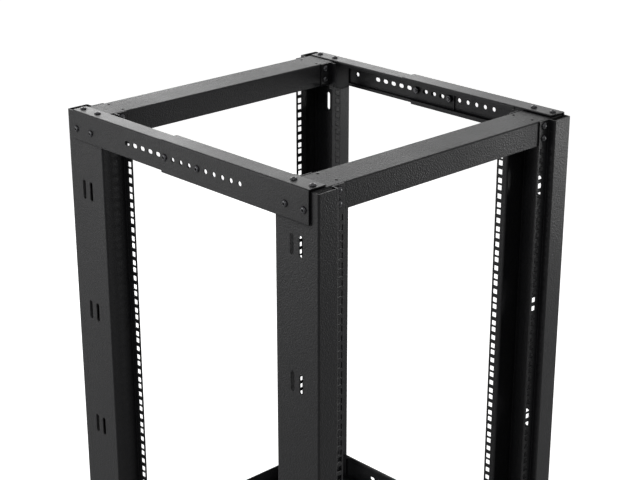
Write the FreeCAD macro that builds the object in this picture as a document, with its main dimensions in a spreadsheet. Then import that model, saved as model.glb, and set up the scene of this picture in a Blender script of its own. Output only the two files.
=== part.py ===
import FreeCAD, Part
import Sketcher
import math
import os
import re
from FreeCAD import Placement, Rotation, Vector

# Four post open frame rack for 19 inch equipment, in millimetres.
# +X is the rack's right seen from the front, +Y runs to the rear, +Z is up.
# The origin is on the floor, below the middle of the rack.
# All four posts are one folded sheet part, turned about for its corner. Channel beams join the
# posts at the front and the rear, and at each side an outer and an inner rail slide in each
# other to set the depth. The small screws that join the corners are left out.

os.makedirs("parts", exist_ok=True)
doc = FreeCAD.newDocument("open_frame_rack")
dims = doc.addObject("Spreadsheet::Sheet", "Dims")

# Driving dimensions: alias, then millimetres or a count.
DIMENSIONS = [
    # the rack as a whole
    ("rack_units", 18),
    ("unit_pitch", 44.45),
    ("frame_width", 578),
    ("frame_depth", 615),
    ("sheet", 2),
    ("bend", 3),
    # square holes for cage nuts
    ("hole_spacing", 15.875),
    ("hole_size", 9.5),
    ("column_spacing", 465.1),
    # post section: across the rack from the hole column, along it from the post's face
    ("post_end_margin", 43.65),
    ("flange_edge", 8.05),
    ("flange_root", 15.45),
    ("face_recess", 13),
    ("wall_depth", 93.7),
    ("inner_flange_offset", 9.95),
    ("inner_flange", 21.6),
    ("inner_hole_inset", 7.6),
    # vertical slots in the post's side wall
    ("slot_width", 8),
    ("slot_length", 34),
    ("slot_inset", 37.7),
    ("slot_gap", 19.4),
    ("slot_units", 5),
    ("slot_rows", 4),
    # joggled tabs at the post's ends
    ("tab_height", 40),
    ("tab_edge", 6.05),
    ("tab_root", 16.6),
    ("tab_depth", 12.3),
    # channel beams
    ("beam_height", 41.5),
    ("beam_clearance", 4),
    ("beam_hole", 5),
    ("beam_hole_inset", 8.05),
    # side rails
    ("rail_height", 55.5),
    ("rail_setback", 16.6),
    ("inner_rail_setback", 17.5),
    ("rail_flange", 35.7),
    ("rail_lip", 9),
    ("rail_foot", 10),
    ("rail_foot_lip", 8),
    ("rail_bend", 2.5),
    ("rail_clearance", 0.3),
    ("notch_clearance", 1),
    ("rail_hole", 8),
    ("rail_hole_pitch", 20),
    ("rail_hole_count", 10),
    ("rail_end", 10),
    ("rail_slot_length", 12),
    ("rail_slot_width", 7.5),
    ("spare_hole_inset", 114.7),
    # bolts, nuts and washers
    ("bolt_offset", 40),
    ("bolt_size", 6),
    ("bolt_spare", 2),
    ("head_size", 10.5),
    ("head_height", 3),
    ("nut_size", 11.5),
    ("nut_height", 5),
    ("nut_clearance", 0.2),
    ("washer_size", 12),
    ("screw_inset", 29.5),
    ("screw_spacing", 40),
    ("side_screw_drop", 27.5),
    ("top_screw_inset", 14),
    # levelling feet
    ("foot_height", 30),
    ("foot_size", 40),
    ("foot_rim", 6),
    ("foot_hub", 18),
    ("foot_hub_size", 18),
    ("foot_inset", 54),
    ("foot_setback", 47.2),
    ("stud_size", 10),
    ("stud_clearance", 1),
    ("stud_spare", 12),
    ("foot_nut_size", 19.6),
    ("foot_nut_height", 8),
]
for row, (alias, value) in enumerate(DIMENSIONS, start=1):
    dims.set(f"A{row}", alias)
    dims.set(f"B{row}", str(value))
    dims.setAlias(f"B{row}", alias)
doc.recompute()

# Places that several pieces share, as expressions over the sheet.
ZERO = "0 * sheet"
# Across the rack, from its middle plane outwards:
HALF_WIDTH = "frame_width / 2"
COLUMN = "column_spacing / 2"
FLANGE_EDGE = f"{COLUMN} - flange_edge"
FLANGE_ROOT = f"{COLUMN} + flange_root"
INNER_FLANGE = f"{COLUMN} + inner_flange_offset"
TAB_EDGE = f"{COLUMN} - tab_edge"
TAB_ROOT = f"{COLUMN} + tab_root"
BEAM_HOLE = f"{COLUMN} - beam_hole_inset"
FOOT_ACROSS = f"{HALF_WIDTH} - foot_inset"
# Along the rack, from the post's face inwards:
TAB_FACE = "wall_depth - tab_depth"
BEAM_FRONT = "face_recess + sheet"
BEAM_REAR = f"{TAB_FACE} - sheet"
# Up the rack:
HALF_DEPTH = "frame_depth / 2"
POST_LENGTH = "(rack_units * unit_pitch + 2 * post_end_margin)"
POST_BOTTOM = "foot_height + 3 * sheet"
POST_TOP = f"{POST_BOTTOM} + {POST_LENGTH}"
POST_MIDDLE = f"{POST_BOTTOM} + {POST_LENGTH} / 2"
RAIL_DROP = "(rail_height - 2 * sheet)"
TAB_DROP = "(tab_height + sheet)"
POST_END = f"({POST_LENGTH} / 2 + sheet)"

X_AXIS, Y_AXIS, Z_AXIS = Vector(1, 0, 0), Vector(0, 1, 0), Vector(0, 0, 1)
UPRIGHT = Rotation()
HALF_TURN = Rotation(Z_AXIS, 180)
FLIPPED_SIDEWAYS = Rotation(Y_AXIS, 180)
FLIPPED_FORWARD = Rotation(X_AXIS, 180)


def size(expression):
    """The value of an expression over the sheet's aliases."""
    value = dims.evalExpression(expression)
    return float(getattr(value, "Value", value))


def bind(item, target, expression):
    """Ties one property or constraint of an object to an expression over the sheet."""
    item.setExpression(target, re.sub(r"[a-z]\w*", lambda name: "Dims." + name.group(), expression))


def place(item, rotation, across, along, up):
    """Turns an object and ties its position to the sheet."""
    item.Placement = Placement(Vector(size(across), size(along), size(up)), rotation)
    bind(item, ".Placement.Base.x", across)
    bind(item, ".Placement.Base.y", along)
    bind(item, ".Placement.Base.z", up)


def origin_item(body, role):
    """The origin plane or axis of a body with that role."""
    return next(item for item in body.Origin.OriginFeatures if item.Role == role)


def add_sketch(body, name, plane, offset=ZERO):
    """An empty sketch on one of the body's origin planes, moved along the plane's normal."""
    sketch = body.newObject("Sketcher::SketchObject", name)
    sketch.AttachmentSupport = [(origin_item(body, plane), "")]
    sketch.MapMode = "FlatFace"
    bind(sketch, ".AttachmentOffset.Base.z", offset)
    return sketch


def pin_point(sketch, item, point, across, up):
    """Ties one point of a sketch's geometry to two distances from its origin."""
    for kind, expression in (("DistanceX", across), ("DistanceY", up)):
        constraint = Sketcher.Constraint(kind, -1, 1, item, point, size(expression))
        bind(sketch, f"Constraints[{sketch.addConstraint(constraint)}]", expression)


def draw_outline(sketch, points):
    """A closed outline of straight lines through points given as pairs of expressions."""
    corners = [Vector(size(across), size(up), 0) for across, up in points]
    first = sketch.GeometryCount
    for start, end in zip(corners, corners[1:] + corners[:1]):
        sketch.addGeometry(Part.LineSegment(start, end), False)
    last = sketch.GeometryCount - 1
    for item in range(first, last + 1):
        following = item + 1 if item < last else first
        sketch.addConstraint(Sketcher.Constraint("Coincident", item, 2, following, 1))
    for item, (across, up) in enumerate(points, start=first):
        pin_point(sketch, item, 1, across, up)


def draw_square(sketch, across, up, width):
    """A square about a centre."""
    low, high = f"{across} - {width} / 2", f"{across} + {width} / 2"
    bottom, top = f"{up} - {width} / 2", f"{up} + {width} / 2"
    draw_outline(sketch, [(low, bottom), (high, bottom), (high, top), (low, top)])


def draw_circle(sketch, across, up, diameter):
    """A circle about a centre."""
    centre = Vector(size(across), size(up), 0)
    item = sketch.addGeometry(Part.Circle(centre, Vector(0, 0, 1), size(diameter) / 2), False)
    pin_point(sketch, item, 3, across, up)
    number = sketch.addConstraint(Sketcher.Constraint("Diameter", item, size(diameter)))
    bind(sketch, f"Constraints[{number}]", diameter)


def draw_slot(sketch, across, up, length, width, upright):
    """A slot with round ends about a centre, along the sketch's second axis where it is upright."""
    reach = f"({length} - {width}) / 2"
    if upright:
        centres = [(across, f"{up} + {reach}"), (across, f"{up} - {reach}")]
    else:
        centres = [(f"{across} + {reach}", up), (f"{across} - {reach}", up)]
    radius = size(width) / 2
    quarter = math.pi / 2
    turn = quarter if upright else 0
    arcs = []
    for (x, y), start in zip(centres, (turn - quarter, turn + quarter)):
        circle = Part.Circle(Vector(size(x), size(y), 0), Vector(0, 0, 1), radius)
        arcs.append(sketch.addGeometry(Part.ArcOfCircle(circle, start, start + math.pi), False))
    far, near = arcs
    for one, other in ((far, near), (near, far)):
        start, end = sketch.Geometry[one].EndPoint, sketch.Geometry[other].StartPoint
        side = sketch.addGeometry(Part.LineSegment(start, end), False)
        sketch.addConstraint(Sketcher.Constraint("Tangent", one, 2, side, 1))
        sketch.addConstraint(Sketcher.Constraint("Tangent", side, 2, other, 1))
    for arc, (x, y) in zip(arcs, centres):
        pin_point(sketch, arc, 3, x, y)
    sketch.addConstraint(Sketcher.Constraint("Equal", far, near))
    number = sketch.addConstraint(Sketcher.Constraint("Diameter", far, size(width)))
    bind(sketch, f"Constraints[{number}]", width)


def add_pad(body, sketch, length, centred=False, backwards=False):
    """Thickens a sketch along its plane's normal, to both sides or against the normal."""
    pad = body.newObject("PartDesign::Pad", f"{sketch.Name}_pad")
    pad.Profile = sketch
    pad.SideType = "Symmetric" if centred else "One side"
    pad.Reversed = backwards
    bind(pad, "Length", length)
    return finish_feature(body, pad)


def add_pocket(body, sketch, length=None, backwards=False):
    """Cuts a sketch through everything at both sides, or to a depth against its normal."""
    before = body.Tip.Shape.Volume
    pocket = body.newObject("PartDesign::Pocket", f"{sketch.Name}_pocket")
    pocket.Profile = sketch
    if length is None:
        pocket.SideType = "Symmetric"
        pocket.Type = "ThroughAll"
    else:
        pocket.Reversed = backwards
        bind(pocket, "Length", length)
    finish_feature(body, pocket)
    if pocket.Shape.Volume > before - 1:
        raise RuntimeError(f"{pocket.Name} of {body.Label} cuts nothing")
    return pocket


def add_row(body, feature, axis, length, count, backwards=False):
    """Repeats a feature along one of the body's origin axes."""
    row = body.newObject("PartDesign::LinearPattern", f"{feature.Name}_row")
    row.Originals = [feature]
    row.Direction = (origin_item(body, axis), [""])
    row.Reversed = backwards
    bind(row, "Length", length)
    bind(row, "Occurrences", count)
    return finish_feature(body, row)


def add_mirror(body, features, plane):
    """Repeats features on the far side of one of the body's origin planes."""
    mirror = body.newObject("PartDesign::Mirrored", f"{features[-1].Name}_mirror")
    mirror.Originals = features
    mirror.MirrorPlane = (origin_item(body, plane), [""])
    return finish_feature(body, mirror)


def finish_feature(body, feature):
    """Makes a new feature the body's tip and works it out."""
    body.Tip = feature
    doc.recompute()
    return feature


def round_bends(body, name, axis, corners, radius):
    """Rounds the long edges that run along an axis through the given corners."""
    base = body.Tip
    across = [other for other in (0, 1, 2) if other != axis]
    names = []
    for number, edge in enumerate(base.Shape.Edges, start=1):
        ends = [vertex.Point for vertex in edge.Vertexes]
        for corner in corners:
            target = [size(expression) for expression in corner]
            if all(abs(end[a] - t) < 0.01 for end in ends for a, t in zip(across, target)):
                names.append(f"Edge{number}")
    fillet = body.newObject("PartDesign::Fillet", name)
    fillet.Base = (base, names)
    bind(fillet, "Radius", radius)
    return finish_feature(body, fillet)


def add_post(label):
    """One folded post. Its own frame lies at mid-height in the plane of the post's face."""
    body = doc.addObject("PartDesign::Body", label)

    # The folded section: hole flange, step, face, side wall, inner face and inner hole flange.
    section = add_sketch(body, "section", "XY_Plane")
    draw_outline(section, [
        (FLANGE_EDGE, "face_recess"),
        (FLANGE_ROOT, "face_recess"),
        (FLANGE_ROOT, ZERO),
        (HALF_WIDTH, ZERO),
        (HALF_WIDTH, "wall_depth"),
        (f"{INNER_FLANGE} + sheet", "wall_depth"),
        (f"{INNER_FLANGE} + sheet", "wall_depth + inner_flange"),
        (INNER_FLANGE, "wall_depth + inner_flange"),
        (INNER_FLANGE, "wall_depth - sheet"),
        (f"{HALF_WIDTH} - sheet", "wall_depth - sheet"),
        (f"{HALF_WIDTH} - sheet", "sheet"),
        (f"{FLANGE_ROOT} + sheet", "sheet"),
        (f"{FLANGE_ROOT} + sheet", BEAM_FRONT),
        (FLANGE_EDGE, BEAM_FRONT),
    ])
    add_pad(body, section, f"2 * {POST_END}", centred=True)
    round_bends(body, "outer_bends", 2, [
        (f"{FLANGE_ROOT} + sheet", BEAM_FRONT),
        (FLANGE_ROOT, ZERO),
        (HALF_WIDTH, ZERO),
        (HALF_WIDTH, "wall_depth"),
        (INNER_FLANGE, "wall_depth - sheet"),
    ], "bend")
    round_bends(body, "inner_bends", 2, [
        (FLANGE_ROOT, "face_recess"),
        (f"{FLANGE_ROOT} + sheet", "sheet"),
        (f"{HALF_WIDTH} - sheet", "sheet"),
        (f"{HALF_WIDTH} - sheet", "wall_depth - sheet"),
        (f"{INNER_FLANGE} + sheet", "wall_depth"),
    ], "bend - sheet")

    # At each end the inner flange is cut away, the inner face is open where the rail's foot runs,
    # and an angled tab, joined to what is left of the inner face, takes the beam's rear wall.
    end_cuts = []
    for name, near, far, drop in (
        ("notch", f"{INNER_FLANGE} - sheet", f"{HALF_WIDTH} - bend", TAB_DROP),
        ("rail_gap", f"{TAB_ROOT} + sheet", f"{HALF_WIDTH} - bend", RAIL_DROP),
    ):
        cut = add_sketch(body, name, "XY_Plane", POST_END)
        draw_outline(cut, [
            (near, "wall_depth - bend"),
            (far, "wall_depth - bend"),
            (far, "wall_depth + inner_flange + sheet"),
            (near, "wall_depth + inner_flange + sheet"),
        ])
        end_cuts.append(add_pocket(body, cut, drop))
    for name, near, far, face, back, drop in (
        ("tab_return", TAB_ROOT, f"{TAB_ROOT} + sheet", BEAM_REAR, "wall_depth", RAIL_DROP),
        ("tab", TAB_EDGE, f"{TAB_ROOT} + sheet", BEAM_REAR, TAB_FACE, TAB_DROP),
    ):
        plate = add_sketch(body, name, "XY_Plane", POST_END)
        draw_outline(plate, [(near, face), (far, face), (far, back), (near, back)])
        end_cuts.append(add_pad(body, plate, drop, backwards=True))
    add_mirror(body, end_cuts, "XY_Plane")

    # Pairs of vertical slots in the side wall.
    slots = add_sketch(body, "slots", "YZ_Plane")
    for inset in ("slot_inset", "slot_inset + slot_gap"):
        lowest_slot = "0 - (rack_units / 2 - 1) * unit_pitch"
        draw_slot(slots, inset, lowest_slot, "slot_length", "slot_width", upright=True)
    pair = add_pocket(body, slots)
    add_row(body, pair, "Z_Axis", "(slot_rows - 1) * slot_units * unit_pitch", "slot_rows")

    # Three square holes in each rack unit, in both hole flanges.
    lowest = "(hole_spacing * 2 - unit_pitch) / 2"
    for name, plane, place_across in (
        ("square_holes", "XZ_Plane", COLUMN),
        ("inner_square_holes", "YZ_Plane", "wall_depth + inner_flange - inner_hole_inset"),
    ):
        holes = add_sketch(body, name, plane)
        for step in (0, 1, 2):
            up = f"{step} * hole_spacing - {lowest} - rack_units * unit_pitch / 2"
            draw_square(holes, place_across, up, "hole_size")
        unit = add_pocket(body, holes)
        add_row(body, unit, "Z_Axis", "(rack_units - 1) * unit_pitch", "rack_units")
    return body


def add_beam(label, has_feet):
    """One channel beam. Its own frame lies at the post's end, in the plane of the post's face."""
    body = doc.addObject("PartDesign::Body", label)

    # The channel: a plate on the posts' ends and two walls, between flange and tab.
    section = add_sketch(body, "section", "YZ_Plane")
    draw_outline(section, [
        (BEAM_FRONT, "sheet"),
        (BEAM_REAR, "sheet"),
        (BEAM_REAR, "sheet - beam_height"),
        (f"{BEAM_REAR} - sheet", "sheet - beam_height"),
        (f"{BEAM_REAR} - sheet", ZERO),
        (f"{BEAM_FRONT} + sheet", ZERO),
        (f"{BEAM_FRONT} + sheet", "sheet - beam_height"),
        (BEAM_FRONT, "sheet - beam_height"),
    ])
    add_pad(body, section, f"2 * ({HALF_WIDTH} - bend)", centred=True)
    round_bends(body, "bends", 0, [(BEAM_FRONT, "sheet"), (BEAM_REAR, "sheet")], "bend")

    # Only the plate reaches over the posts.
    relief = add_sketch(body, "relief", "XZ_Plane")
    draw_outline(relief, [
        (f"{FLANGE_ROOT} - beam_clearance", ZERO),
        (HALF_WIDTH, ZERO),
        (HALF_WIDTH, "0 - beam_height"),
        (f"{FLANGE_ROOT} - beam_clearance", "0 - beam_height"),
    ])
    relief_cut = add_pocket(body, relief)
    add_mirror(body, [relief_cut], "YZ_Plane")

    # Holes in the plate for accessories and, at the base, for the feet.
    plate_holes = add_sketch(body, "plate_holes", "XY_Plane")
    for inset in ("screw_inset", "screw_inset + screw_spacing"):
        draw_circle(plate_holes, BEAM_HOLE, inset, "beam_hole")
    if has_feet:
        draw_circle(plate_holes, FOOT_ACROSS, "foot_setback", "stud_size + stud_clearance")
    plate_cut = add_pocket(body, plate_holes)
    add_mirror(body, [plate_cut], "YZ_Plane")
    return body


def add_rail(label, is_inner, has_spare_hole=False):
    """One half of a sliding side rail, as made for the right side: outer in front, inner behind.
    Its own frame lies at the post's end, in the rack's middle planes."""
    body = doc.addObject("PartDesign::Body", label)
    inset = "sheet" if is_inner else ZERO
    gap = "rail_clearance" if is_inner else ZERO
    web = f"{HALF_WIDTH} + 2 * sheet - {inset}"
    top = f"3 * sheet - {inset}"
    bottom = f"3 * sheet - rail_height + {inset}"
    edge = f"{HALF_WIDTH} + 2 * sheet - rail_flange + {inset} + {gap}"
    foot = f"{HALF_WIDTH} + 2 * sheet - rail_foot + {inset} + {gap}"
    lip_end = "3 * sheet - rail_lip"
    foot_end = "3 * sheet - rail_height + rail_foot_lip"
    middle = "3 * sheet - rail_height / 2"
    lap = "bolt_offset + rail_end"
    far_end = f"{HALF_DEPTH} - inner_rail_setback" if is_inner else f"{HALF_DEPTH} - rail_setback"

    # The channel lies from the lap near the rack's middle to its post. The sketch's plane faces
    # the front, so an outer rail is thickened along its normal and an inner rail against it.
    section = add_sketch(body, "section", "XZ_Plane", f"{lap}" if is_inner else f"0 - ({lap})")
    draw_outline(section, [
        (edge, lip_end),
        (edge, top),
        (web, top),
        (web, bottom),
        (foot, bottom),
        (foot, foot_end),
        (f"{foot} + sheet", foot_end),
        (f"{foot} + sheet", f"{bottom} + sheet"),
        (f"{web} - sheet", f"{bottom} + sheet"),
        (f"{web} - sheet", f"{top} - sheet"),
        (f"{edge} + sheet", f"{top} - sheet"),
        (f"{edge} + sheet", lip_end),
    ])
    add_pad(body, section, f"{far_end} + {lap}", backwards=is_inner)
    round_bends(body, "bends", 1, [(edge, top), (web, top), (web, bottom), (foot, bottom)], "rail_bend")
    round_bends(body, "web_bends", 1, [
        (f"{web} - sheet", f"{top} - sheet"),
        (f"{web} - sheet", f"{bottom} + sheet"),
    ], "rail_bend - sheet")

    # Lip and foot stop short of the post, where only web and flange go on.
    post_zone = f"{HALF_DEPTH} - wall_depth - notch_clearance"
    relief = add_sketch(body, "relief", "XZ_Plane", f"0 - ({far_end})" if is_inner else far_end)
    draw_outline(relief, [
        (f"{edge} - rail_bend", f"{top} - sheet"),
        (f"{web} - sheet", f"{top} - sheet"),
        (f"{web} - sheet", f"{bottom} - rail_bend"),
        (f"{edge} - rail_bend", f"{bottom} - rail_bend"),
    ])
    add_pocket(body, relief, f"{far_end} - ({post_zone})", backwards=is_inner)

    # The row in the web: round holes in the outer rail, slots in the inner rail. The inner rail of
    # one hand has a spare hole near its post.
    row = add_sketch(body, "row", "YZ_Plane")
    if is_inner:
        draw_slot(row, "0 - bolt_offset", middle, "rail_slot_length", "rail_slot_width", upright=False)
    else:
        draw_circle(row, "bolt_offset", middle, "rail_hole")
    first = add_pocket(body, row)
    reach = "(rail_hole_count - 1) * rail_hole_pitch"
    add_row(body, first, "Y_Axis", reach, "rail_hole_count", backwards=not is_inner)
    if has_spare_hole:
        spare = add_sketch(body, "spare", "YZ_Plane")
        draw_circle(spare, f"{HALF_DEPTH} - spare_hole_inset", middle, "rail_hole")
        add_pocket(body, spare)
    return body


def add_copy(label, source, rotation, across, along, up):
    """The same part again, as a link with its own placement."""
    link = doc.addObject("App::Link", label)
    link.LinkedObject = source
    place(link, rotation, across, along, up)
    return link


def add_mirror_part(label, source):
    """The part of opposite hand, mirrored in the rack's middle plane."""
    mirror = doc.addObject("Part::Mirroring", label)
    mirror.Source = source
    mirror.Normal = Vector(1, 0, 0)
    return mirror


def add_turned(label, profile, across, along, up):
    """A solid of revolution about an upright axis, from radius and height pairs."""
    body = doc.addObject("PartDesign::Body", label)
    sketch = add_sketch(body, "profile", "XZ_Plane")
    draw_outline(sketch, profile)
    turned = body.newObject("PartDesign::Revolution", "turned")
    turned.Profile = sketch
    turned.ReferenceAxis = (sketch, ["V_Axis"])
    turned.Angle = 360
    finish_feature(body, turned)
    place(body, UPRIGHT, across, along, up)
    return body


def add_ring(label, kind, outer, inner, height):
    """A hexagon nut, sized over its corners, or a round washer, from its lower face up."""
    blank = doc.addObject(f"Part::{kind}", f"{label}_blank")
    bind(blank, "Circumradius" if kind == "Prism" else "Radius", f"{outer} / 2")
    bind(blank, "Height", height)
    hole = doc.addObject("Part::Cylinder", f"{label}_hole")
    bind(hole, "Radius", f"({inner}) / 2")
    bind(hole, "Height", height)
    ring = doc.addObject("Part::Cut", label)
    ring.Base = blank
    ring.Tool = hole
    doc.recompute()
    return ring


def add_set(label, source, spots):
    """Like small pieces of one corner or joint in one node: each spot is a placement."""
    pieces = []
    for spot in spots:
        piece = source.Shape.copy()
        piece.Placement = spot
        pieces.append(piece)
    group = doc.addObject("Part::Feature", label)
    group.Shape = Part.makeCompound(pieces)
    return group


def spot(rotation, across, along, up):
    """A placement from expressions, for one piece of a set."""
    return Placement(Vector(size(across), size(along), size(up)), rotation)


# The folded parts, each in its own frame.
post = add_post("post")
top_beam = add_beam("top_beam", has_feet=False)
base_beam = add_beam("base_beam", has_feet=True)
outer_rail = add_rail("outer_rail", is_inner=False)
inner_rail = add_rail("inner_rail", is_inner=True, has_spare_hole=True)
plain_inner_rail = add_rail("plain_inner_rail", is_inner=True)
outer_rail_left = add_mirror_part("outer_rail_left", outer_rail)
inner_rail_left = add_mirror_part("inner_rail_left", plain_inner_rail)

# The small turned and cut parts, each in its own frame, pointing up.
bolt_grip = "2 * sheet + nut_height + bolt_spare"
rail_bolt = add_turned("rail_bolt", [
    (ZERO, f"0 - ({bolt_grip})"),
    ("bolt_size / 2", f"0 - ({bolt_grip})"),
    ("bolt_size / 2", ZERO),
    ("head_size / 2", ZERO),
    ("head_size / 2", "head_height / 3"),
    ("head_size / 3", "head_height"),
    (ZERO, "head_height"),
], ZERO, ZERO, ZERO)
rail_nut = add_ring("rail_nut", "Prism", "nut_size", "bolt_size + nut_clearance", "nut_height")
washer = add_ring("washer", "Cylinder", "washer_size", "bolt_size + nut_clearance", "sheet")
foot_nut = add_ring("foot_nut", "Prism", "foot_nut_size", "stud_size + nut_clearance", "foot_nut_height")

# The four posts are the same part: turned about, or flipped end for end.
parts = [
    add_copy("post_front_right", post, UPRIGHT, ZERO, f"0 - {HALF_DEPTH}", POST_MIDDLE),
    add_copy("post_front_left", post, FLIPPED_SIDEWAYS, ZERO, f"0 - {HALF_DEPTH}", POST_MIDDLE),
    add_copy("post_rear_right", post, FLIPPED_FORWARD, ZERO, HALF_DEPTH, POST_MIDDLE),
    add_copy("post_rear_left", post, HALF_TURN, ZERO, HALF_DEPTH, POST_MIDDLE),
]

# Beams: open below at the top of the rack, open above at its base.
parts += [
    add_copy("top_beam_front", top_beam, UPRIGHT, ZERO, f"0 - {HALF_DEPTH}", POST_TOP),
    add_copy("top_beam_rear", top_beam, HALF_TURN, ZERO, HALF_DEPTH, POST_TOP),
    add_copy("base_beam_front", base_beam, FLIPPED_SIDEWAYS, ZERO, f"0 - {HALF_DEPTH}", POST_BOTTOM),
    add_copy("base_beam_rear", base_beam, FLIPPED_FORWARD, ZERO, HALF_DEPTH, POST_BOTTOM),
]

# Rails: the base rails are the other side's top rails, flipped sideways.
for side, other, outer, inner in (
    ("right", "left", outer_rail, inner_rail),
    ("left", "right", outer_rail_left, inner_rail_left),
):
    for part, half in ((outer, "front"), (inner, "rear")):
        parts += [
            add_copy(f"top_rail_{half}_{side}", part, UPRIGHT, ZERO, ZERO, POST_TOP),
            add_copy(f"base_rail_{half}_{other}", part, FLIPPED_SIDEWAYS, ZERO, ZERO, POST_BOTTOM),
        ]

# What joins the rails: two bolts with nuts at each lap, and washers at the corner screws, where
# the outer rail stands off the post and the beam by the thickness of the inner rail.
RAIL_MIDDLE = "(rail_height / 2 - 3 * sheet)"
for side, sign, outward, inward in (
    ("right", "", Rotation(Y_AXIS, 90), Rotation(Y_AXIS, -90)),
    ("left", "0 - ", Rotation(Y_AXIS, -90), Rotation(Y_AXIS, 90)),
):
    for level, row_height, side_height, gap_height in (
        ("top", f"{POST_TOP} - {RAIL_MIDDLE}", f"{POST_TOP} - side_screw_drop", f"{POST_TOP} + sheet"),
        (
            "base",
            f"{POST_BOTTOM} + {RAIL_MIDDLE}",
            f"{POST_BOTTOM} + side_screw_drop",
            f"{POST_BOTTOM} - 2 * sheet",
        ),
    ):
        bolts = []
        nuts = []
        for along in ("0 - bolt_offset", "bolt_offset"):
            bolts.append(spot(outward, f"{sign}({HALF_WIDTH} + 2 * sheet)", along, row_height))
            nuts.append(spot(inward, f"{sign}({HALF_WIDTH})", along, row_height))
        washers = []
        for inset in ("screw_inset", "screw_inset + screw_spacing"):
            along = f"{inset} - {HALF_DEPTH}"
            washers.append(spot(outward, f"{sign}({HALF_WIDTH})", along, side_height))
            top_screw = f"{sign}({HALF_WIDTH} - top_screw_inset)"
            washers.append(spot(UPRIGHT, top_screw, along, gap_height))
        parts += [
            add_set(f"{level}_rail_bolts_{side}", rail_bolt, bolts),
            add_set(f"{level}_rail_nuts_{side}", rail_nut, nuts),
            add_set(f"{level}_spacer_washers_{side}", washer, washers),
        ]

# Levelling feet under the base beams, held by one nut below and one above the beam's plate.
for end, along in (("front", f"foot_setback - {HALF_DEPTH}"), ("rear", f"{HALF_DEPTH} - foot_setback")):
    for side, across in (("left", f"0 - ({FOOT_ACROSS})"), ("right", FOOT_ACROSS)):
        parts.append(add_turned(f"foot_pad_{end}_{side}", [
            (ZERO, ZERO),
            ("foot_size / 2", ZERO),
            ("foot_size / 2", "foot_rim"),
            ("foot_hub_size / 2", "foot_hub"),
            (ZERO, "foot_hub"),
        ], across, along, ZERO))
        parts.append(add_turned(f"foot_stud_{end}_{side}", [
            (ZERO, "foot_hub"),
            ("stud_size / 2", "foot_hub"),
            ("stud_size / 2", f"{POST_BOTTOM} + foot_nut_height + stud_spare"),
            (ZERO, f"{POST_BOTTOM} + foot_nut_height + stud_spare"),
        ], across, along, ZERO))
        parts.append(add_set(f"foot_nuts_{end}_{side}", foot_nut, [
            spot(UPRIGHT, across, along, POST_BOTTOM),
            spot(UPRIGHT, across, along, f"{POST_BOTTOM} - sheet - foot_nut_height"),
        ]))

doc.recompute()
for item in doc.Objects:
    if "Invalid" in item.State or "Error" in item.State:
        raise RuntimeError(f"{item.Label} could not be worked out")
for part in parts:
    shape = Part.getShape(part)
    if shape.isNull() or not shape.isValid():
        raise RuntimeError(f"{part.Label} has no valid shape")
    shape.exportStep(f"parts/{part.Label}.step")
    print(part.Label, len(shape.Solids), round(shape.Volume / 1000, 1), "cm3")
print(len(parts), "parts")
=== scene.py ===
import math
import bmesh
import bpy
from mathutils import Matrix, Vector


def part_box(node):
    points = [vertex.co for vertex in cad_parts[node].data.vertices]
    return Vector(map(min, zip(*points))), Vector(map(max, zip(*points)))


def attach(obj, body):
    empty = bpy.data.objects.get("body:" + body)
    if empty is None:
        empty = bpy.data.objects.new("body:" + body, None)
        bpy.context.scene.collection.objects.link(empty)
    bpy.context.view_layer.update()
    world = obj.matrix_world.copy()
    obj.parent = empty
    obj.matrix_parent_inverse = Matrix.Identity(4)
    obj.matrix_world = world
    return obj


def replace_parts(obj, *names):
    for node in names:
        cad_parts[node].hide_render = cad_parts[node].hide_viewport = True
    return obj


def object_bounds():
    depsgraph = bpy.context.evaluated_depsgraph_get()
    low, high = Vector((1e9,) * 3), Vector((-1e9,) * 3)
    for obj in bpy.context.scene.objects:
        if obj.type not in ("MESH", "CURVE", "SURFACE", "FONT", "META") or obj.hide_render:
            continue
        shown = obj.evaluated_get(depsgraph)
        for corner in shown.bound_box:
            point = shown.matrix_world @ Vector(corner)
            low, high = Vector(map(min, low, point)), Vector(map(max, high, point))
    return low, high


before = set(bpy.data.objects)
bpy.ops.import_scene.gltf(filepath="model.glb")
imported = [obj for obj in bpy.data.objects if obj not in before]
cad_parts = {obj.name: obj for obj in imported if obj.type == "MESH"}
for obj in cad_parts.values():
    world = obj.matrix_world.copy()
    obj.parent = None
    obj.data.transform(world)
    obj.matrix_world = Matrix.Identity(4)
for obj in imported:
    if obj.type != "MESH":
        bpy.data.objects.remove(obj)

cad_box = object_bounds()


# Posts: four folded channels of steel sheet, 2 mm thick, with rows of punched square holes.
# Black polyester powder is sprayed on them dry and baked into a hard satin skin. Its coarse
# orange-peel grain breaks up the shine, and the coat thins to a brighter line at the bends.
def linear(hex_colour):
    """A colour of the screen, written as six hex digits, as linear values with full alpha."""
    channels = [int(hex_colour[i:i + 2], 16) / 255 for i in (0, 2, 4)]
    values = [c / 12.92 if c <= 0.04045 else ((c + 0.055) / 1.055) ** 2.4 for c in channels]
    return (*values, 1.0)


def add_node(tree, kind, settings=None, inputs=None):
    """One shader node with its settings; an input is a value, or another node's output."""
    node = tree.nodes.new(kind)
    for name, value in (settings or {}).items():
        setattr(node, name, value)
    for name, value in (inputs or {}).items():
        if isinstance(value, bpy.types.NodeSocket):
            tree.links.new(value, node.inputs[name])
        else:
            node.inputs[name].default_value = value
    return node


def new_material(name):
    """A material with nothing but its output and its principled shader."""
    material = bpy.data.materials.new(name)
    material.use_nodes = True
    tree = material.node_tree
    tree.nodes.clear()
    output = add_node(tree, "ShaderNodeOutputMaterial")
    shader = add_node(tree, "ShaderNodeBsdfPrincipled")
    tree.links.new(shader.outputs["BSDF"], output.inputs["Surface"])
    return material, tree, shader


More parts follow.
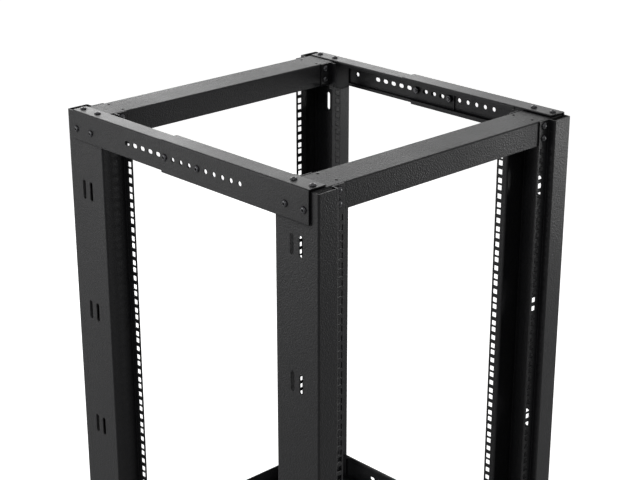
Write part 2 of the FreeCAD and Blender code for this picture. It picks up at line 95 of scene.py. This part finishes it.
def powder_coat(name, roughness, shine_level, grain_depth):
    """Black textured powder coat. Its grain, of a millimetre or less, is drawn coarser to show.

    Spraying leaves broad clouds of slightly duller and glossier coat. Inner corners and gaps get
    painted shade: an occlusion test cuts their shine, standing in for the shade that falls there.
    """
    hollow_black, crest_black = "101011", "1E1E20"
    grain_size = 0.0023
    cloud_size = 0.12
    cloud_low, cloud_high = 0.3, 0.7
    glossiest, dullest = roughness - 0.03, roughness + 0.04
    edge_radius = 0.0013
    # Reach and limits of the painted shade in inner corners and gaps.
    painted_shade_reach = 0.010
    closed_share, open_share = 0.6, 0.95
    material, tree, shader = new_material(name)
    place = add_node(tree, "ShaderNodeTexCoord").outputs["Object"]
    grain = add_node(tree, "ShaderNodeTexNoise", inputs={
        "Vector": place, "Scale": 1 / grain_size, "Detail": 1.0, "Roughness": 0.5})
    cloud = add_node(tree, "ShaderNodeTexNoise", inputs={
        "Vector": place, "Scale": 1 / cloud_size, "Detail": 3.0, "Roughness": 0.5})
    colour = add_node(tree, "ShaderNodeMix", {"data_type": "RGBA"}, {
        "Factor": grain.outputs["Fac"], "A": linear(hollow_black), "B": linear(crest_black)})
    tree.links.new(colour.outputs["Result"], shader.inputs["Base Color"])
    shine = add_node(tree, "ShaderNodeMapRange", inputs={
        "Value": cloud.outputs["Fac"], "From Min": cloud_low, "From Max": cloud_high,
        "To Min": glossiest, "To Max": dullest})
    tree.links.new(shine.outputs["Result"], shader.inputs["Roughness"])
    edge = add_node(tree, "ShaderNodeBevel", {"samples": 4}, {"Radius": edge_radius})
    bump = add_node(tree, "ShaderNodeBump", inputs={
        "Height": grain.outputs["Fac"], "Strength": 1.0, "Distance": grain_depth,
        "Normal": edge.outputs["Normal"]})
    tree.links.new(bump.outputs["Normal"], shader.inputs["Normal"])
    # Painted shade: the occlusion found within the reach cuts the shine in corners, gaps and under
    # lapped edges.
    painted_shade_occlusion = add_node(tree, "ShaderNodeAmbientOcclusion", {"samples": 6}, {
        "Distance": painted_shade_reach})
    level = add_node(tree, "ShaderNodeMapRange", inputs={
        "Value": painted_shade_occlusion.outputs["AO"], "From Min": closed_share, "From Max": open_share,
        "To Min": 0.0, "To Max": shine_level})
    tree.links.new(level.outputs["Result"], shader.inputs["Specular IOR Level"])
    shader.inputs["IOR"].default_value = 1.5
    return material


def coat_pieces(words, material):
    """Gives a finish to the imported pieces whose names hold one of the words."""
    for name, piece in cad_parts.items():
        if any(word in name for word in words):
            for slot in piece.material_slots:
                slot.material = material


coat_pieces(("post",), powder_coat(
    "coarse powder coat on posts", roughness=0.42, shine_level=0.20, grain_depth=0.00062))


# Beams: two channels of folded sheet across the posts' tops, and two across their feet.
# Their coat is drawn with the deepest grain and the least shine.
coat_pieces(("beam",), powder_coat(
    "matt powder coat on beams", roughness=0.45, shine_level=0.165, grain_depth=0.0008))


# Side rails: angles of folded sheet with rows of round holes and slots. The rear rail of each
# side slides in the front one to set the depth. Their coat is the smoothest and glossiest.
coat_pieces(("rail_front", "rail_rear"), powder_coat(
    "fine powder coat on rails", roughness=0.38, shine_level=0.185, grain_depth=0.0004))


# Bolts, nuts, spacer washers and the feet's studs: turned steel, zinc plated and passivated
# black. The metal under the film glints more sharply than the coat, with faint mottling.
def black_zinc(name):
    """Black passivated zinc on turned steel, mottled by the bath."""
    dark_film, light_film = "262628", "3E3E41"
    mottle_size = 0.002
    material, tree, shader = new_material(name)
    place = add_node(tree, "ShaderNodeTexCoord").outputs["Object"]
    mottle = add_node(tree, "ShaderNodeTexNoise", inputs={
        "Vector": place, "Scale": 1 / mottle_size, "Detail": 2.0})
    colour = add_node(tree, "ShaderNodeMix", {"data_type": "RGBA"}, {
        "Factor": mottle.outputs["Fac"], "A": linear(dark_film), "B": linear(light_film)})
    tree.links.new(colour.outputs["Result"], shader.inputs["Base Color"])
    shader.inputs["Metallic"].default_value = 0.6
    shader.inputs["Roughness"].default_value = 0.26
    return material


fastener_zinc = black_zinc("black zinc on fasteners")
coat_pieces(("bolts", "nuts", "washers", "stud"), fastener_zinc)


# Levelling feet: four pads of moulded black nylon, which turn on their studs.
# The spark-eroded mould leaves a faint matt grain on them.
def moulded_nylon(name):
    """Matt black nylon with the grain of its mould."""
    hollow_black, crest_black = "141415", "1E1E1F"
    grain_size = 0.0008
    grain_depth = 0.0001
    material, tree, shader = new_material(name)
    place = add_node(tree, "ShaderNodeTexCoord").outputs["Object"]
    grain = add_node(tree, "ShaderNodeTexNoise", inputs={
        "Vector": place, "Scale": 1 / grain_size, "Detail": 1.0})
    colour = add_node(tree, "ShaderNodeMix", {"data_type": "RGBA"}, {
        "Factor": grain.outputs["Fac"], "A": linear(hollow_black), "B": linear(crest_black)})
    tree.links.new(colour.outputs["Result"], shader.inputs["Base Color"])
    bump = add_node(tree, "ShaderNodeBump", inputs={
        "Height": grain.outputs["Fac"], "Strength": 0.2, "Distance": grain_depth})
    tree.links.new(bump.outputs["Normal"], shader.inputs["Normal"])
    shader.inputs["Roughness"].default_value = 0.55
    return material


coat_pieces(("foot_pad",), moulded_nylon("moulded nylon of the feet"))


# Corner screws: at each corner four M6 button heads clamp the rail to post and beam, and four
# plain domed heads fix the beam's two walls to the post's flange and tab. They are turned steel,
# plated black. The sockets are drawn round, and the shanks are stubs that end in the sheet.
button_head = {"radius": 0.00525, "height": 0.003, "socketed": True}
domed_head = {"radius": 0.0059, "height": 0.0042, "socketed": False}
head_sides = 20
dome_angles = (25, 50, 72, 90)
rim_share = 0.25
shank_radius = 0.0028
socket_radius = 0.0023
socket_depth = 0.0018
flat_radius = 1.2 * socket_radius
flat_width = 0.25 * socket_radius
touching = 1e-6


def screw_outline(head, shank):
    """Half a screw's outline, radius by level: crown, dome, rim, underside, shank and its end."""
    height = head["height"]
    crown = flat_radius if head["socketed"] else 0.0
    outline = [(0.0, height)]
    if head["socketed"]:
        outline.append((crown, height))
    for angle in map(math.radians, dome_angles):
        reach = crown + (head["radius"] - crown) * math.sin(angle)
        outline.append((reach, height * (rim_share + (1 - rim_share) * math.cos(angle))))
    outline += [(head["radius"], 0.0), (shank_radius, 0.0), (shank_radius, -shank), (0.0, -shank)]
    return outline


def sink_socket(screw, height):
    """Sinks the socket into the flat on top of a head."""
    top = [face for face in screw.faces if face.calc_center_median().z > height - touching]
    flat = bmesh.ops.dissolve_faces(screw, faces=top)["region"]
    bmesh.ops.inset_region(screw, faces=flat, thickness=flat_width)
    centre = [face for face in flat if face.is_valid]
    sunk = bmesh.ops.extrude_face_region(screw, geom=centre)
    bmesh.ops.delete(screw, geom=centre, context="FACES_ONLY")
    bottom = [item for item in sunk["geom"] if isinstance(item, bmesh.types.BMVert)]
    bmesh.ops.translate(screw, verts=bottom, vec=(0, 0, -socket_depth))


def add_screw(screws, seat, direction, shank, head):
    """Adds one screw: its head's underside is at the seat, and its head points along direction."""
    screw = bmesh.new()
    points = [screw.verts.new((radius, 0.0, level)) for radius, level in screw_outline(head, shank)]
    edges = [screw.edges.new(pair) for pair in zip(points, points[1:])]
    bmesh.ops.spin(
        screw, geom=points + edges, cent=(0, 0, 0), axis=(0, 0, 1), angle=2 * math.pi,
        steps=head_sides, use_merge=True)
    bmesh.ops.remove_doubles(screw, verts=screw.verts, dist=touching)
    bmesh.ops.recalc_face_normals(screw, faces=screw.faces)
    if head["socketed"]:
        sink_socket(screw, head["height"])
    turn = Vector((0, 0, 1)).rotation_difference(Vector(direction)).to_matrix().to_4x4()
    screw.transform(Matrix.Translation(seat) @ turn)
    loose = bpy.data.meshes.new("screw")
    screw.to_mesh(loose)
    screw.free()
    screws.from_mesh(loose)
    bpy.data.meshes.remove(loose)


def finish_screws(name, screws):
    """Turns a group of screws into one smooth shaded piece that rides on the rack."""
    sharp_angle = math.radians(40)
    data = bpy.data.meshes.new(name)
    screws.to_mesh(data)
    screws.free()
    data.materials.append(fastener_zinc)
    data.set_sharp_from_angle(angle=sharp_angle)
    piece = bpy.data.objects.new(name, data)
    bpy.context.scene.collection.objects.link(piece)
    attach(piece, "root")
    return piece


# The screws' places: insets count from the posts' front and rear faces, and drops from under the
# beams' plates, one sheet inside the posts' ends. The front rail's web and top lie one sheet
# further out than those of the rear rail, which slides in it.
sheet = 0.002
half_depth = cad_box[1].y
post_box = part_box("post_front_right")
half_width = post_box[1].x
seat_low = post_box[0].z + sheet
seat_high = post_box[1].z - sheet
screw_insets = {"front": (0.0270, 0.0670), "rear": (0.0272, 0.0672)}
side_screw_drop = 0.0269
top_screw_inset = 0.014
sheet_shank = 0.0018
tab_shank = 0.0038
tab_screw_across = 0.2362
tab_screw_drops = (0.0070, 0.0279)
flange_face = 0.013
tab_face = 0.0814
rail_web = {"front": half_width + 2 * sheet, "rear": half_width + sheet}
rail_top = {"front": 3 * sheet, "rear": 2 * sheet}
for level, level_end, up in (("top", seat_high, 1), ("base", seat_low, -1)):
    for end, ahead in (("front", -1), ("rear", 1)):
        for side, outward in (("left", -1), ("right", 1)):
            screws = bmesh.new()
            for inset in screw_insets[end]:
                along = ahead * (half_depth - inset)
                web_seat = (outward * rail_web[end], along, level_end - up * side_screw_drop)
                add_screw(screws, web_seat, (outward, 0, 0), sheet_shank, button_head)
                across = outward * (half_width - top_screw_inset)
                flange_seat = (across, along, level_end + up * rail_top[end])
                add_screw(screws, flange_seat, (0, 0, up), sheet_shank, button_head)
            for drop in tab_screw_drops:
                height = level_end - up * drop
                across = outward * tab_screw_across
                outer_seat = (across, ahead * (half_depth - flange_face), height)
                add_screw(screws, outer_seat, (0, ahead, 0), tab_shank, domed_head)
                inner_seat = (across, ahead * (half_depth - tab_face), height)
                add_screw(screws, inner_seat, (0, -ahead, 0), tab_shank, domed_head)
            finish_screws(f"corner_screws_{level}_{end}_{side}", screws)


# Rail bolts: M6 button heads with a socket, two at each lap of the rails, which lock the depth.
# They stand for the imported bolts, at the same places and with the same heads and shanks.
for level in ("top", "base"):
    for side, outward in (("left", -1), ("right", 1)):
        name = f"{level}_rail_bolts_{side}"
        low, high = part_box(name)
        outer = high.x if outward > 0 else low.x
        radius, height = button_head["radius"], button_head["height"]
        bolts = bmesh.new()
        for along in (low.y + radius, high.y - radius):
            seat = (outer - outward * height, along, (low.z + high.z) / 2)
            shank = high.x - low.x - height
            add_screw(bolts, seat, (outward, 0, 0), shank, button_head)
        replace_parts(finish_screws(f"socketed_{name}", bolts), name)


# The floor: pale matt studio floor. It is white to the camera, keeps the rack's shadow, and
# glows only faintly in the steel, so that the posts stay dark down to their feet.
def background_rays(tree):
    """The rays that see the background: the camera's, and those that metal and glass send on."""
    rays = add_node(tree, "ShaderNodeLightPath").outputs
    mirrored = add_node(tree, "ShaderNodeMath", {"operation": "MAXIMUM"}, {
        0: rays["Is Glossy Ray"], 1: rays["Is Transmission Ray"]})
    return rays["Is Camera Ray"], mirrored.outputs[0]


def studio_floor(name):
    """Pale matt floor paint: white to the camera, and a faint glow in what mirrors it."""
    camera_glow, mirrored_glow = 0.8, 0.15
    material, tree, shader = new_material(name)
    shader.inputs["Base Color"].default_value = linear("E6E6E6")
    shader.inputs["Roughness"].default_value = 0.9
    camera_ray, mirrored_ray = background_rays(tree)
    dimmed = add_node(tree, "ShaderNodeMath", {"operation": "MULTIPLY"}, {
        0: mirrored_ray, 1: mirrored_glow})
    glow = add_node(tree, "ShaderNodeMath", {"operation": "MULTIPLY_ADD"}, {
        0: camera_ray, 1: camera_glow, 2: dimmed.outputs[0]})
    shader.inputs["Emission Color"].default_value = (1.0, 1.0, 1.0, 1.0)
    tree.links.new(glow.outputs[0], shader.inputs["Emission Strength"])
    return material


floor_size = 60.0
floor_mesh = bmesh.new()
bmesh.ops.create_grid(floor_mesh, x_segments=1, y_segments=1, size=floor_size / 2)
floor_data = bpy.data.meshes.new("floor")
floor_mesh.to_mesh(floor_data)
floor_mesh.free()
floor = bpy.data.objects.new("floor", floor_data)
bpy.context.scene.collection.objects.link(floor)
floor_data.materials.append(studio_floor("pale studio floor"))


# The room: plain white behind the rack and in its reflections, and a weak even light from it.
white_colour = (1, 1, 1, 1)
room_light = 0.25
world = bpy.data.worlds.new("studio")
world.use_nodes = True
bpy.context.scene.world = world
tree = world.node_tree
tree.nodes.clear()
camera_ray, mirrored_ray = background_rays(tree)
seen = add_node(tree, "ShaderNodeMath", {"operation": "MAXIMUM"}, {
    0: camera_ray, 1: mirrored_ray})
light = add_node(tree, "ShaderNodeBackground", inputs={
    "Color": white_colour, "Strength": room_light})
white = add_node(tree, "ShaderNodeBackground", inputs={
    "Color": white_colour, "Strength": 1.0})
both = add_node(tree, "ShaderNodeMixShader", inputs={
    0: seen.outputs[0], 1: light.outputs[0], 2: white.outputs[0]})
add_node(tree, "ShaderNodeOutputWorld", inputs={"Surface": both.outputs[0]})


# The lamps: six square soft boxes aimed at the middle of the rack's top. Two stand at the left,
# one low at the right front, and three behind, which light the tops of the beams and rails.
# Each row holds a lamp's place, the length of its side and its power in watts.
lamps = {
    "key": ((1.55, -1.1, 0.62), 0.45, 11.0),
    "front": ((-3.0, -1.6, 2.6), 0.6, 18.0),
    "fill": ((-2.65, 1.9, 0.9), 1.6, 45.0),
    "right rear": ((2.0, 1.4, 1.5), 0.9, 2.8),
    "rear right": ((1.4, 1.6, 1.5), 0.9, 4.6),
    "rear": ((0.7, 2.2, 1.5), 1.2, 16.0),
}
rack_top = Vector((0.0, 0.0, seat_high))
for name, (place, side, power) in lamps.items():
    data = bpy.data.lights.new(name, "AREA")
    data.shape = "SQUARE"
    data.size = side
    data.energy = power
    lamp = bpy.data.objects.new(name, data)
    bpy.context.scene.collection.objects.link(lamp)
    lamp.location = place
    lamp.rotation_euler = (rack_top - Vector(place)).to_track_quat("-Z", "Y").to_euler()


# The camera: a long lens from the left front corner, above the rack, as one walks up to it.
# It looks down by about twenty degrees, towards the right rear post. Its turn is in degrees.
lens_length = 87.04
sensor_width = 36.0
camera_place = (-1.7194, -1.81035, 1.6442)
camera_turn = (69.219, 0.006, -43.641)
camera_data = bpy.data.cameras.new("camera")
camera_data.sensor_width = sensor_width
camera_data.lens = lens_length
camera = bpy.data.objects.new("camera", camera_data)
camera.location = camera_place
camera.rotation_euler = [math.radians(angle) for angle in camera_turn]
bpy.context.scene.collection.objects.link(camera)
bpy.context.scene.camera = camera

bpy.context.scene.view_settings.view_transform = "Standard"
